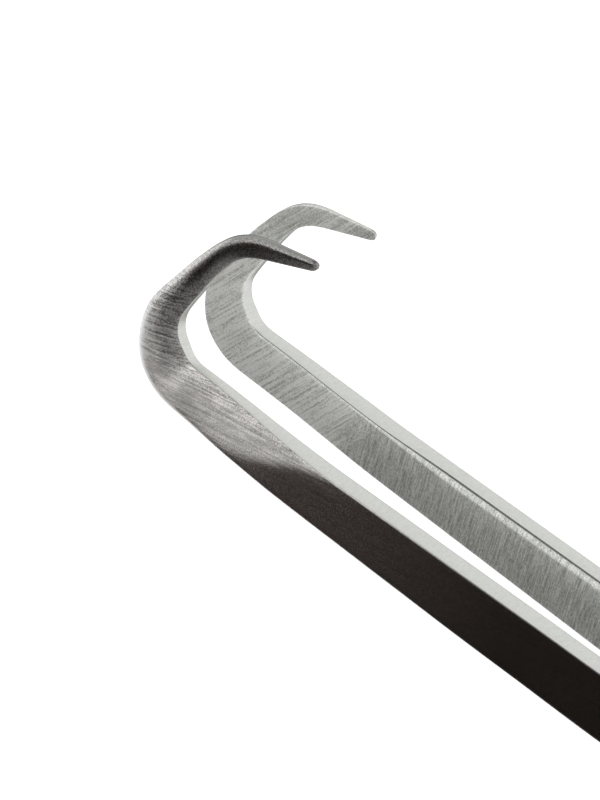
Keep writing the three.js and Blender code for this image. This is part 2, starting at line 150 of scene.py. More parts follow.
def turned(name, profile, sides=96, centre=(0, 0, 0), axis=(0, 0, 1), sharp_deg=35):
    """Turns (radius, height) points about an axis. The profile ends on the axis or closes on itself."""
    basis = Vector((0, 0, 1)).rotation_difference(Vector(axis)).to_matrix()
    verts, faces, rows = [], [], []
    for radius, height in profile:
        if radius < 1e-6:
            rows.append([len(verts)])
            verts.append((0, 0, height))
            continue
        rows.append(list(range(len(verts), len(verts) + sides)))
        for i in range(sides):
            a = 2 * math.pi * i / sides
            verts.append((radius * math.cos(a), radius * math.sin(a), height))
    closed = len(rows[0]) > 1
    pairs = list(zip(rows, rows[1:])) + ([(rows[-1], rows[0])] if closed else [])
    for a, b in pairs:
        for i in range(sides):
            j = (i + 1) % sides
            if len(a) == 1:
                faces.append((a[0], b[i], b[j]))
            elif len(b) == 1:
                faces.append((a[i], a[j], b[0]))
            else:
                faces.append((a[i], a[j], b[j], b[i]))
    placed = [tuple(basis @ Vector(v) + Vector(centre)) for v in verts]
    return mesh_object(name, placed, faces, sharp_deg)


def boolean(piece, cutter, operation):
    """Applies a join or cut to the piece, and removes the cutter."""
    step = piece.modifiers.new(operation.lower(), "BOOLEAN")
    step.operation = operation
    step.solver = "MANIFOLD"
    step.object = cutter
    bake_modifiers(piece)
    bpy.data.objects.remove(cutter)


def bake_modifiers(piece):
    graph = bpy.context.evaluated_depsgraph_get()
    made = bpy.data.meshes.new_from_object(
        piece.evaluated_get(graph), preserve_all_data_layers=True, depsgraph=graph
    )
    piece.modifiers.clear()
    piece.data = made


def dome(radius, start, height, step_deg, fullness=1.0):
    """Profile points from a rim up to just short of the axis. A low fullness gives a flat crown."""
    angles = [math.radians(a) for a in range(0, 90, step_deg)]
    return [(radius * math.cos(a) ** fullness, start + height * math.sin(a)) for a in angles]


def post(x, y, radius, z0, z1, sides=96):
    return turned("cutter", [(0, z0), (radius, z0), (radius, z1), (0, z1)], sides, (x, y, 0))


# ---- Where an arm runs ----
def catmull_rom(t, a, b, c, d):
    v0, v1 = (c - a) / 2, (d - b) / 2
    return (2 * b - 2 * c + v0 + v1) * t**3 + (3 * c - 3 * b - 2 * v0 - v1) * t**2 + v0 * t + b


def plan_samples():
    """Points along the plan curve, close enough together to look places up in."""
    steps = 120
    found = []
    last = len(ARM_PLAN) - 1
    for k in range(last):
        a, d = ARM_PLAN[max(k - 1, 0)], ARM_PLAN[min(k + 2, last)]
        for t in np.linspace(0, 1, steps, endpoint=False):
            found.append(catmull_rom(t, a, ARM_PLAN[k], ARM_PLAN[k + 1], d))
    found.append(ARM_PLAN[last])
    return np.array(found)


PLAN = plan_samples()
PLAN_SLOPE = np.gradient(PLAN[:, 1], PLAN[:, 0])


def plan_at(distance, side):
    """Centre and sideways direction of an arm at a distance behind the pivot."""
    offset = float(np.interp(distance, PLAN[:, 0], PLAN[:, 1]))
    slope = float(np.interp(distance, PLAN[:, 0], PLAN_SLOPE))
    lateral = np.array([-slope * side, 1.0, 0.0])
    return np.array([PIVOT_X + distance, side * offset, MID_Z]), lateral / np.linalg.norm(lateral)


def neck_thickness(distance):
    """The bar thickens over the pivot, where each arm keeps half of its height."""
    return NECK_THICKNESS + (BAR_THICKNESS - NECK_THICKNESS) * smoothstep(abs(distance), 6, 26)


def shank_width(distance):
    from_heel = distance + PIVOT_TO_HEEL
    widened = (HEEL_FOOT_WIDTH - SHANK_FOOT_WIDTH) * (1 - smoothstep(from_heel, 0, 14))
    return SHANK_FOOT_WIDTH + (BOSS_HEIGHT - SHANK_FOOT_WIDTH) * from_heel / PIVOT_TO_HEEL + widened


def rein_width(distance):
    """The rein is a little slimmer than the boss, and swells into the tang between the scales."""
    slimming = 0.6
    slim = BOSS_HEIGHT - slimming * smoothstep(distance, 10, 24)
    swell = smoothstep(distance, GRIP_FROM - TANG_BLEND_IN, GRIP_FROM)
    swell -= smoothstep(distance, GRIP_TO, GRIP_TO + TANG_BLEND_OUT)
    return slim + (TANG_HEIGHT - slim) * swell


HOOK_STEP, REIN_STEP = 0.25, 0.7  # between the stations of a skin
HOOK_STRETCHES = (
    # (length) or (radius, turn), then width from and to, thickness from and to
    ((HEEL_RADIUS, HEEL_TURNS[0]), (HEEL_FOOT_WIDTH, 6.6), (HEEL_FOOT_THICKNESS, 2.9)),
    ((HEEL_RADIUS, HEEL_TURNS[1]), (6.6, 4.4), (2.9, 2.5)),
    ((UPRIGHT_LENGTH,), (4.4, 3.2), (2.5, 1.9)),
    ((CROWN_RADIUS, CROWN_TURN), (3.2, 2.8), (1.9, 1.2)),
    ((TIP_LENGTH,), (2.8, 1.4), (1.2, 0.7)),
)
LEAD_IN = 30.0  # length of shank that is drawn together with the hook
FLARE = {FRONT: 0.6, REAR: 0.3}  # how much thicker the shanks are at their lower edge
SMOOTHED_STATIONS = 17  # each station of the hook is an average over this many
BLUNT_TIP = 0.9  # length over which the tip rounds off


def forward_line():
    """Rows of run past the heel's foot, x, z, width and thickness, from the shank to the hook's tip."""
    rows = []
    thickening = BAR_THICKNESS - HEEL_FOOT_THICKNESS
    for from_heel in np.arange(LEAD_IN, 0, -HOOK_STEP):
        width = shank_width(from_heel - PIVOT_TO_HEEL)
        thickness = HEEL_FOOT_THICKNESS + thickening * smoothstep(from_heel, 0, 18)
        height = MID_Z + HEEL_RISE * (1 - smoothstep(from_heel, 0, 24))
        rows.append((-from_heel, HEEL_X + from_heel, height, width, thickness))
    run, x, z, heading = 0.0, HEEL_X, MID_Z + HEEL_RISE, math.pi
    rows.append((run, x, z, HEEL_FOOT_WIDTH, HEEL_FOOT_THICKNESS))
    for shape, widths, thicknesses in HOOK_STRETCHES:
        turn = math.radians(shape[1]) if len(shape) > 1 else 0.0
        length = shape[0] * turn if turn else shape[0]
        steps = round(length / HOOK_STEP)
        for i in range(1, steps + 1):
            heading -= turn / steps
            x += length / steps * math.cos(heading + turn / steps / 2)
            z += length / steps * math.sin(heading + turn / steps / 2)
            run += length / steps
            width = np.interp(i / steps, (0, 1), widths)
            rows.append((run, x, z, width, np.interp(i / steps, (0, 1), thicknesses)))
    window = np.hanning(SMOOTHED_STATIONS + 2)[1:-1]
    window /= window.sum()
    reach = SMOOTHED_STATIONS // 2
    padded = np.pad(np.array(rows, float), ((reach, reach), (0, 0)), mode="reflect", reflect_type="odd")
    return np.column_stack([np.convolve(column, window, "valid") for column in padded.T])


def forward_stations(side):
    """From the hook's blunt tip back along the hook and the first stretch of shank.

    A station's last seven values say how much of each shaping, grinding or wear there is: flared is in
    millimetres and the others go from 0 to 1. Heel, upright and crown begin and end at runs of about
    0, 13, 23 and 30 mm past the heel's foot.
    """
    line = forward_line()[::-1]
    slopes = -np.gradient(line[:, 1:3], axis=0)
    slopes /= np.linalg.norm(slopes, axis=1)[:, None]
    tip_run, nose = line[0, 0], 0.35
    stations = []
    for (run, x, z, width, thickness), (along_x, along_z) in zip(line, slopes):
        past = max(BLUNT_TIP - (tip_run - run), 0) / BLUNT_TIP
        end = math.sqrt(max(1 - past**2, 0.02))
        width *= nose + (1 - nose) * end
        thickness *= nose + (1 - nose) * end
        inward = np.array([along_z, 0.0, -along_x])
        bow = 0.08 * smoothstep(run, 24, 29) - 0.3 * (smoothstep(run, 6, 13) - smoothstep(run, 19, 25))
        stations.append({
            "centre": np.array([x, side * (JAW_GAP + thickness) / 2, z]) + bow * inward,
            "lateral": np.array([0.0, 1.0, 0.0]),
            "normal": inward,
            "width": width,
            "thickness": thickness,
            "hook": float(smoothstep(run, -10, 4) - 0.6 * smoothstep(run, 22, 30)),
            "worn": float(smoothstep(-run, 18, 34)) * (side == REAR),
            "rolled": float(smoothstep(run, -25, -8) - smoothstep(run, 1, 12)) * (side == FRONT),
            "undercut": float(smoothstep(run, 6, 13) - smoothstep(run, 22, 30)) * (side == FRONT),
            "flared": FLARE[side] + 0.4 * float(smoothstep(run, -24, -6) - smoothstep(run, 22, 30)),
            "thinned": float(smoothstep(run, 19, 27)),
            "rounded": float(smoothstep(run, 2, 9) - smoothstep(run, 20, 27)),
        })
    return stations


def back_stations(side, end):
    """The rest of the shank, the neck over the pivot, and the rein back to its end."""
    stations = []
    for d in np.arange(LEAD_IN + HOOK_STEP - PIVOT_TO_HEEL, NECK_START, REIN_STEP):
        centre = np.array([PIVOT_X + d, side * SHANK_OFFSET, MID_Z])
        stations.append((d, centre, np.array([0.0, 1.0, 0.0])))
    for d in np.append(np.arange(NECK_START, end, REIN_STEP), end):
        stations.append((d, *plan_at(d, side)))
    return [
        {
            "centre": centre,
            "lateral": lateral,
            "normal": np.array([0.0, 0.0, 1.0]),
            "width": float(shank_width(d) if d < 0 else rein_width(d)),
            "thickness": float(neck_thickness(d)),
            "hook": 0.0,
            "worn": float(smoothstep(d + PIVOT_TO_HEEL, 18, 34)) * (side == REAR),
            "rolled": 0.0,
            "undercut": 0.0,
            "flared": FLARE[side] * float(1 - smoothstep(d, -60, -30)),
            "thinned": 0.0,
            "rounded": 0.0,
        }
        for d, centre, lateral in stations
    ]


def corner_radii(station):
    """Corner radii in the order top outer, top inner, low inner and low outer."""
    hook, worn = station["hook"], station["worn"]
    small = min(station["width"], station["thickness"])
    wanted = (0.15 + 0.15 * hook, 0.35 + 0.65 * worn, 0.3 - 0.1 * hook, 0.3 + 0.6 * hook)
    return [min(r, 0.4 * small) for r in wanted]


def outer_fall(station, up):
    """How far the ground outer face falls away. Up is 1 on the hook's inside and -1 on its outside."""
    rolled, rounded = station["rolled"], station["rounded"]
    start = 1.0 - 1.9 * rolled
    top = 0.9 * rolled * np.clip((up - start) / max(1 - start, 0.05), 0, 1) ** 1.6
    back = (0.4 * station["hook"] + 0.6 * rounded) * np.clip((0.5 - up) / 1.5, 0, 1) ** 2
    crown = 0.35 * station["thinned"] * np.clip((-0.25 - up) / 0.75, 0, 1) ** 2
    inside = 0.3 * station["undercut"] * np.clip((up + 0.3) / 1.3, 0, 1) ** 1.5
    flare = (station["flared"] + 0.25 * rounded) * (1 - up) / 2
    return top + back + crown + inside - flare


def bar_section(station, side):
    """A rounded bar's outline about the station, from its top outer corner round by the inner face."""
    corner_steps, face_steps, deepest = 6, 12, 1.1
    a, b = station["thickness"] / 2, station["width"] / 2
    top_out, top_in, low_in, low_out = corner_radii(station)
    corners = ((a, b, top_out, 0), (-a, b, top_in, 90), (-a, -b, low_in, 180), (a, -b, low_out, 270))
    across, up = [], []
    for ca, cb, radius, start in corners:
        for step in range(corner_steps + 1):
            angle = math.radians(start + 90 * step / corner_steps)
            across.append(ca - math.copysign(radius, ca) + radius * math.cos(angle))
            up.append(cb - math.copysign(radius, cb) + radius * math.sin(angle))
    for step in range(1, face_steps):
        across.append(a)
        up.append(-(b - low_out) + (2 * b - top_out - low_out) * step / face_steps)
    across, up = np.array(across), np.array(up)
    fall = np.minimum(outer_fall(station, up / b), deepest * a)
    across = (across + a) * (1 - fall / (2 * a)) - a
    return (
        station["centre"]
        + np.outer(across, station["lateral"] * side)
        + np.outer(up, station["normal"])
    )


def arm(name, side, end):
    """One arm as a single smooth skin."""
    stations = forward_stations(side) + back_stations(side, end)
    return loft(name, [bar_section(s, side) for s in stations], 60)


def lap_cuts(piece, lower):
    """The lap joint's round boss, the clearance for the other boss, and the screw's hole."""
    start = BOSS_BOTTOM if lower else MID_Z + LAP_GAP / 2
    stop = MID_Z - LAP_GAP / 2 if lower else BOSS_TOP
    soft, clear_radius, right_through = 0.35, BOSS_RADIUS + 0.6, (-2, 20)
    boss = [
        (0, start), (BOSS_RADIUS - soft, start), (BOSS_RADIUS, start + soft),
        (BOSS_RADIUS, stop - soft), (BOSS_RADIUS - soft, stop), (0, stop),
    ]
    boolean(piece, turned("boss", boss, 128, (PIVOT_X, 0, 0)), "UNION")
    clear = (stop, BOSS_TOP + 2) if lower else (BOSS_BOTTOM - 2, start)
    boolean(piece, post(PIVOT_X, 0, clear_radius, *clear, 128), "DIFFERENCE")
    boolean(piece, post(PIVOT_X, 0, SCREW_RADIUS + CLEARANCE, *right_through), "DIFFERENCE")


def eye(piece, distance, side):
    """The round boss that holds a pin of the handle lock."""
    centre, _ = plan_at(distance, side)
    low, high, soft = MID_Z - EYE_HEIGHT / 2, MID_Z + EYE_HEIGHT / 2, 0.35
    outline = [
        (0, low), (EYE_RADIUS - soft, low), (EYE_RADIUS, low + soft),
        (EYE_RADIUS, high - soft), (EYE_RADIUS - soft, high), (0, high),
    ]
    boolean(piece, turned("eye", outline, 64, (centre[0], centre[1], 0)), "UNION")


def plate(name, outline, z0, z1, soft):
    """A flat piece cut to an outline, with its rims eased."""
    count = len(outline)
    verts = [(x, y, z0) for x, y in outline] + [(x, y, z1) for x, y in outline]
    faces = [tuple(range(count - 1, -1, -1)), tuple(range(count, 2 * count))]
    faces += [(i, (i + 1) % count, (i + 1) % count + count, i + count) for i in range(count)]
    piece = mesh_object(name, verts, faces)
    ease(piece, soft, lambda edge: abs(edge.verts[0].co.z - edge.verts[1].co.z) < 1e-6)
    return piece


CUTTER_RIM = 0.01  # a cutter's own rims are hardly eased


def ease(piece, soft, wanted=lambda edge: True, segments=3):
    """Rounds the wanted crisp edges by soft millimetres."""
    work = bmesh.new()
    work.from_mesh(piece.data)
    edges = [e for e in work.edges if e.calc_face_angle(0) > math.radians(40) and wanted(e)]
    bmesh.ops.bevel(
        work, geom=edges, offset=soft * MM, segments=segments,
        affect="EDGES", profile=0.5, clamp_overlap=True,
    )
    work.to_mesh(piece.data)
    work.free()
    finish_mesh(piece)


def arc(x, y, radius, start, stop, steps=24):
    angles = [math.radians(start + (stop - start) * i / steps) for i in range(steps + 1)]
    return [(x + radius * math.cos(a), y + radius * math.sin(a)) for a in angles]


# ---- Arms ----
def front_arm():
    piece = arm("front_arm_body", FRONT, BLADE_FROM - CLEARANCE)
    lap_cuts(piece, True)
    eye(piece, LOCK_STUD_AT, FRONT)
    y = plan_at(PALM_FROM, FRONT)[0][1]
    x0, x1, half = PIVOT_X + PALM_FROM, PIVOT_X + PALM_TO, PALM_WIDTH / 2
    corner = 2.0
    outline = (
        arc(x0 + corner, y - half + corner, corner, 180, 270, 8)
        + arc(x1 - corner, y - half + corner, corner, 270, 360, 8)
        + arc(x1 - corner, y + half - corner, corner, 0, 90, 8)
        + arc(x0 + corner, y + half - corner, corner, 90, 180, 8)
    )
    boolean(piece, plate("palm", outline, PALM_BOTTOM, PALM_TOP, 0.35), "UNION")
    finish_mesh(piece, 40)
    settle(piece, arm_steel("front arm steel", FRONT), "front_half", "arm_steel", "front_arm")


def rear_arm():
    piece = arm("rear_arm_body", REAR, LOCK_PIN_AT)
    lap_cuts(piece, False)
    eye(piece, LOCK_PIN_AT, REAR)
    y = plan_at(SPRING_AT, REAR)[0][1]
    radius = ROD_RADIUS + CLEARANCE
    outline = arc(ROD_SLACK_BACK, 0, radius, -90, 90) + arc(-ROD_SLACK_FORWARD, 0, radius, 90, 270)
    slot = plate("slot", outline, -6, 6, CUTTER_RIM)
    slot.data.transform(Matrix.Rotation(math.radians(90), 4, "X"))
    slot.data.transform(Matrix.Translation(Vector((PIVOT_X + SPRING_AT, y, MID_Z)) * MM))
    boolean(piece, slot, "DIFFERENCE")
    finish_mesh(piece, 40)
    settle(piece, arm_steel("rear arm steel", REAR), "rear_half", "arm_steel", "rear_arm")


# ---- Handles ----
def scale_ring(distance, side, outward):
    """A handle scale's section: flat against the tang and underneath, and full and round outside."""
    centre, lateral = plan_at(distance, side)
    along = abs(distance - (GRIP_FROM + GRIP_TO) / 2) / ((GRIP_TO - GRIP_FROM) / 2)
    rounding_from, thinning, lowering = 0.95, 0.45, 0.07
    past = max(along - rounding_from, 0) / (1 - rounding_from)
    end = math.sqrt(max(1 - past**2, 0.0))
    deep = GRIP_DEPTH * (1 - thinning * along**5) * (0.8 + 0.2 * end)
    tall = GRIP_HEIGHT / 2 * (1 - lowering * along**8) * (0.95 + 0.05 * end)
    face, flat_edge, steps = BAR_THICKNESS / 2 + 0.02, 0.97, 40
    fullness_across, fullness_up = 0.62, 0.72
    points = []
    for i in range(steps + 1):
        angle = math.radians(-90 + 180 * i / steps)
        across = 0.98 * abs(math.cos(angle)) ** fullness_across
        up = math.copysign(abs(math.sin(angle)) ** fullness_up, math.sin(angle))
        points.append((across, up))
    ring = [(0.0, -flat_edge), *points[1:-1], (0.0, flat_edge)]
    return [
        centre + lateral * outward * (face + across * deep) + np.array([0, 0, up * tall])
        for across, up in ring
    ]


def handle_scale(name, body, side, outward):
    """One of a grip's two wooden scales, lofted more finely towards its ends."""
    count, rim = 73, 0.5
    closer_at_ends = 0.5 - 0.5 * np.cos(np.linspace(0, math.pi, count))
    stations = GRIP_FROM + (GRIP_TO - GRIP_FROM) * closer_at_ends
    piece = loft(name + "_wood", [scale_ring(d, side, outward) for d in stations], 50)
    ease(piece, rim)
    settle(piece, oiled_wood(name + " wood", len(name) + outward), body, "wood", name)


def handle_rivet(name, body, side, distance):
    """A rivet right through the grip, its domed ends standing a little proud of the wood."""
    centre, lateral = plan_at(distance, side)
    wood = BAR_THICKNESS / 2 + GRIP_DEPTH * 0.98
    proud, height = 0.2, 0.55
    head = dome(RIVET_RADIUS + 0.25, wood + proud - height, height, 10)
    foot = [(radius, -along) for radius, along in reversed(head)]
    profile = [(0, -wood - proud), *foot, *head, (0, wood + proud)]
    piece = turned(name + "_body", profile, 48, centre, lateral, 50)
    settle(piece, FASTENER, body, "fastener_steel", name)


def handles():
    for end, side, body in (("front", REAR, "rear_half"), ("rear", FRONT, "front_half")):
        outside = -1 if end == "front" else 1
        handle_scale(f"{end}_handle_outer_scale", body, side, outside)
        handle_scale(f"{end}_handle_inner_scale", body, side, -outside)
        for i, distance in enumerate(RIVET_STATIONS):
            handle_rivet(f"{end}_handle_rivet_{i + 1}", body, side, distance)


# ---- Pivot ----
WASHER = 0.6
WASHER_TOP = BOSS_TOP + CLEARANCE + WASHER
UPPER_WASHER_RADIUS, WEAR_WASHER_RADIUS = 7.0, 9.0
PIVOT_NUT_RADIUS, LIMIT_NUT_RADIUS, LIMIT_NUT_THICKNESS = 5.8, 3.4, 3.2


def washer(name, radius, z0, z1, material, slot):
    hole, soft = SCREW_RADIUS + 0.15, 0.12
    profile = [
        (hole, z0), (radius - soft, z0), (radius, z0 + soft),
        (radius, z1 - soft), (radius - soft, z1), (hole, z1),
    ]
    piece = turned(name + "_body", profile, 96, (PIVOT_X, 0, 0))
    settle(piece, material, "front_half", slot, name)


def hex_nut(name, radius, thickness, hole, place, axis):
    """A six-sided nut with both faces chamfered round, its lower face at place."""
    piece = turned("nut", [(0, 0), (radius, 0), (radius, thickness), (0, thickness)], 6, sharp_deg=20)
    flat, beyond, chamfer = 0.9 * radius, 1.02 * radius, 0.07 * radius
    rounder = [
        (0, 0), (flat, 0), (beyond, chamfer),
        (beyond, thickness - chamfer), (flat, thickness), (0, thickness),
    ]
    boolean(piece, turned("rounder", rounder, 96), "INTERSECT")
    boolean(piece, post(0, 0, hole, -1, thickness + 1, 64), "DIFFERENCE")
    basis = Vector((0, 0, 1)).rotation_difference(Vector(axis)).to_matrix().to_4x4()
    piece.data.transform(Matrix.Translation(Vector(place) * MM) @ basis)
    piece.name = name + "_body"
    finish_mesh(piece, 25)
    settle(piece, FASTENER, "front_half", "fastener_steel", name)


def pivot():
    seat, point, chamfer = WASHER_TOP + CLEARANCE / 2, 0.4, 0.4
    head_radius, head_height, rim, crown = 6.45, 2.4, 0.5, 1.9
    profile = [
        (0, point), (THREAD_RADIUS - chamfer, point), (THREAD_RADIUS, point + chamfer),
        (THREAD_RADIUS, BOSS_BOTTOM), (SCREW_RADIUS, BOSS_BOTTOM), (SCREW_RADIUS, seat),
        (head_radius - 0.25, seat), (head_radius, seat + 0.2),
        *dome(head_radius, seat + rim, crown, 6, 0.35), (0, seat + head_height),
    ]
    piece = turned("pivot_screw_body", profile, 128, (PIVOT_X, 0, 0))
    long, half, floor_z = 8.0, 0.7, seat + 1.0
    across = [(-long, -half), (long, -half), (long, half), (-long, half)]
    groove = plate("groove", across, floor_z, seat + 4, CUTTER_RIM)
    groove.data.transform(Matrix.Translation(Vector((PIVOT_X * MM, 0, 0))))
    boolean(piece, groove, "DIFFERENCE")
    ease(piece, 0.1, lambda edge: min(v.co.z for v in edge.verts) > (floor_z - 0.1) * MM, 2)
    settle(piece, FASTENER, "front_half", "fastener_steel", "pivot_screw")
    nut_thickness = BOSS_BOTTOM - CLEARANCE
    hex_nut("pivot_nut", PIVOT_NUT_RADIUS, nut_thickness, THREAD_RADIUS + 0.05, (PIVOT_X, 0, 0), (0, 0, 1))
    washer("upper_washer", UPPER_WASHER_RADIUS, WASHER_TOP - WASHER, WASHER_TOP, FASTENER, "fastener_steel")
    washer("wear_washer", WEAR_WASHER_RADIUS, MID_Z - WASHER / 2, MID_Z + WASHER / 2, BRONZE, "bronze")


# ---- Spring and limit rod ----
def limit_rod():
    outside = abs(plan_at(SPRING_AT, REAR)[0][1]) + BAR_THICKNESS / 2 + 0.5
    turns, pitch, thread_depth, past_nut = 13, 0.4, 0.18, 5.0
    head_radius, head_seat, head_rim, crown = 2.8, outside + 0.3, outside + 0.6, 1.0
    threads = []
    for i in range(turns):
        y = pitch - outside - past_nut + pitch * i
        threads += [(ROD_RADIUS - thread_depth, y), (ROD_RADIUS, y + pitch / 2)]
    profile = [
        (0, -outside - past_nut), (ROD_RADIUS - 0.35, -outside - past_nut),
        *threads, (ROD_RADIUS, -outside + 0.8),
        (ROD_RADIUS, head_seat), (head_radius - 0.1, head_seat),
        *dome(head_radius, head_rim, crown, 8, 0.5), (0, head_rim + crown),
    ]
    piece = turned("limit_rod_body", profile, 64, (PIVOT_X + SPRING_AT, 0, MID_Z), (0, 1, 0), 50)
    settle(piece, FASTENER, "front_half", "fastener_steel", "limit_rod")
    place = (PIVOT_X + SPRING_AT, -outside - CLEARANCE - LIMIT_NUT_THICKNESS, MID_Z)
    hex_nut("limit_nut", LIMIT_NUT_RADIUS, LIMIT_NUT_THICKNESS, ROD_RADIUS + 0.02, place, (0, 1, 0))


def return_spring():
    """A round wire coil between the reins, wound closer in its middle than at its ends."""
    steps, sides, crowding = 560, 14, 0.075
    centre = np.array([PIVOT_X + SPRING_AT, 0.0, MID_Z])
    ring_angles = np.linspace(0, 2 * math.pi, sides, endpoint=False)
    rings = []
    for i in range(steps + 1):
        t = i / steps
        angle = t * SPRING_TURNS * 2 * math.pi
        eased = t + crowding * math.sin(2 * math.pi * t) * (1 - 0.5 * abs(2 * t - 1))
        y = -SPRING_HALF + 2 * SPRING_HALF * eased
        out = np.array([math.cos(angle), 0.0, math.sin(angle)])
        ring = []
        for a in ring_angles:
            radius = SPRING_RADIUS + WIRE_RADIUS * math.cos(a)
            ring.append(centre + out * radius + np.array([0, y + WIRE_RADIUS * math.sin(a), 0]))
        rings.append(ring)
    piece = loft("return_spring_coil", rings, 60)
    piece.data.materials.append(SPRING)
    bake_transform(piece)
    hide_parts("return_spring")


# ---- Blade ----
TOUCH = 0.05  # left between the palm and what is riveted to it


def flare_points(neck, half):
    """The blade's side, a smooth curve from the neck's half-width out to the blade's."""
    xs = (BLADE_NECK_END - 6, BLADE_NECK_END, BLADE_NECK_END, BLADE_NECK_END + 7)
    ys = (neck, neck, half, half)
    points = []
    for t in np.linspace(0, 1, 25):
        blend = ((1 - t) ** 3, 3 * t * (1 - t) ** 2, 3 * t * t * (1 - t), t**3)
        points.append((sum(b * v for b, v in zip(blend, xs)), sum(b * v for b, v in zip(blend, ys))))
    return points


def scraper_blade():
    y = plan_at(PALM_FROM, FRONT)[0][1]
    neck, half, bottom = PALM_WIDTH / 2, BLADE_WIDTH / 2, PALM_TOP + TOUCH
    corner, tip = 1.5, 0.8
    flare = flare_points(neck, half)
    outline = (
        arc(BLADE_FROM + corner, -neck + corner, corner, 180, 270, 8)
        + [(px, -py) for px, py in flare]
        + arc(BLADE_TO - tip, -half + tip, tip, 270, 360, 6)
        + arc(BLADE_TO - tip, half - tip, tip, 0, 90, 6)
        + flare[::-1]
        + arc(BLADE_FROM + corner, neck - corner, corner, 90, 180, 8)
    )
    placed = [(PIVOT_X + px, y + py) for px, py in outline]
    piece = plate("scraper_blade_body", placed, bottom, bottom + BLADE_THICKNESS, 0.14)
    slope = (BLADE_THICKNESS - BLADE_EDGE) / BLADE_BEVEL
    x0, x1 = BLADE_TO - BLADE_BEVEL, BLADE_TO + 1
    over = BLADE_THICKNESS + 1
    profile = [(x0, BLADE_THICKNESS), (x1, BLADE_EDGE - slope), (x1, over), (x0, over)]
    wedge = plate("wedge", profile, -BLADE_WIDTH, BLADE_WIDTH, CUTTER_RIM)
    wedge.data.transform(Matrix.Rotation(math.radians(90), 4, "X"))
    wedge.data.transform(Matrix.Translation(Vector((PIVOT_X, y, bottom)) * MM))
    boolean(piece, wedge, "DIFFERENCE")
    finish_mesh(piece, 6)
    settle(piece, BLADE, "front_half", "blade_steel", "scraper_blade")
    for i, distance in enumerate(BLADE_RIVETS):
        blade_rivet(f"blade_rivet_{i + 1}", PIVOT_X + distance, y)


def blade_rivet(name, x, y):
    under, over = PALM_BOTTOM - TOUCH, PALM_TOP + TOUCH + BLADE_THICKNESS + 0.02
    shaft, head_radius, head_height = 1.5, 2.6, 1.35
    head = dome(head_radius, 0, head_height, 7)
    profile = [
        (0, under - head_height), *[(r, under - h) for r, h in reversed(head)], (shaft, under),
        (shaft, over), *[(r, over + h) for r, h in head], (0, over + head_height),
    ]
    settle(turned(name + "_body", profile, 64, (x, y, 0)), FASTENER, "front_half", "fastener_steel", name)


# ---- Handle lock ----
def lock():
    """The link with its open hook, and the two headed pins that it hangs on and hooks round."""
    pin = plan_at(LOCK_PIN_AT, REAR)[0]
    stud = plan_at(LOCK_STUD_AT, FRONT)[0]
    _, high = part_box("lock_link")
    slot, half, y, hook_metal = LOCK_PIN_RADIUS + CLEARANCE, PLATE_WIDTH / 2, pin[1], 2.7
    bore = slot - 0.12
    hook_radius = slot + hook_metal
    hook_x = high.x / MM - hook_radius
    start = math.degrees(math.asin(half / EYE_RADIUS))
    join = math.degrees(math.asin(half / hook_radius))
    lip = math.degrees(math.acos(slot / hook_radius))
    outline = (
        arc(pin[0], y, EYE_RADIUS, start, 360 - start, 48)
        + arc(hook_x, y, hook_radius, -180 + join, lip, 40)
        + [(hook_x + slot, y)]
        + arc(hook_x, y, slot, 0, -180, 24)[1:-1]
        + [(hook_x - slot, y)]
        + arc(hook_x, y, hook_radius, 180 - lip, 180 - join, 10)
    )
    piece = plate("lock_link_body", outline, PLATE_FROM, PLATE_TO, 0.16)
    boolean(piece, post(pin[0], y, bore, PLATE_FROM - 3, PLATE_TO + 3, 48), "DIFFERENCE")
    finish_mesh(piece, 40)
    settle(piece, BLADE, "lock_link", "blade_steel", "lock_link")
    seat, base, head = PLATE_TO + CLEARANCE, MID_Z - EYE_HEIGHT / 2 - 0.02, 2.8
    profile = [
        (0, base), (LOCK_PIN_RADIUS - 0.2, base), (LOCK_PIN_RADIUS, base + 0.2), (LOCK_PIN_RADIUS, seat),
        (head - 0.15, seat), (head, seat + 0.15), (head, seat + 0.7), (head - 0.15, seat + 0.95),
        (head - 0.5, seat + 1.15), (0, seat + 1.3),
    ]
    for name, centre, body in (("lock_pin", pin, "rear_half"), ("lock_stud", stud, "front_half")):
        made = turned(name + "_body", profile, 64, (centre[0], centre[1], 0), sharp_deg=50)
        settle(made, FASTENER, body, "fastener_steel", name)


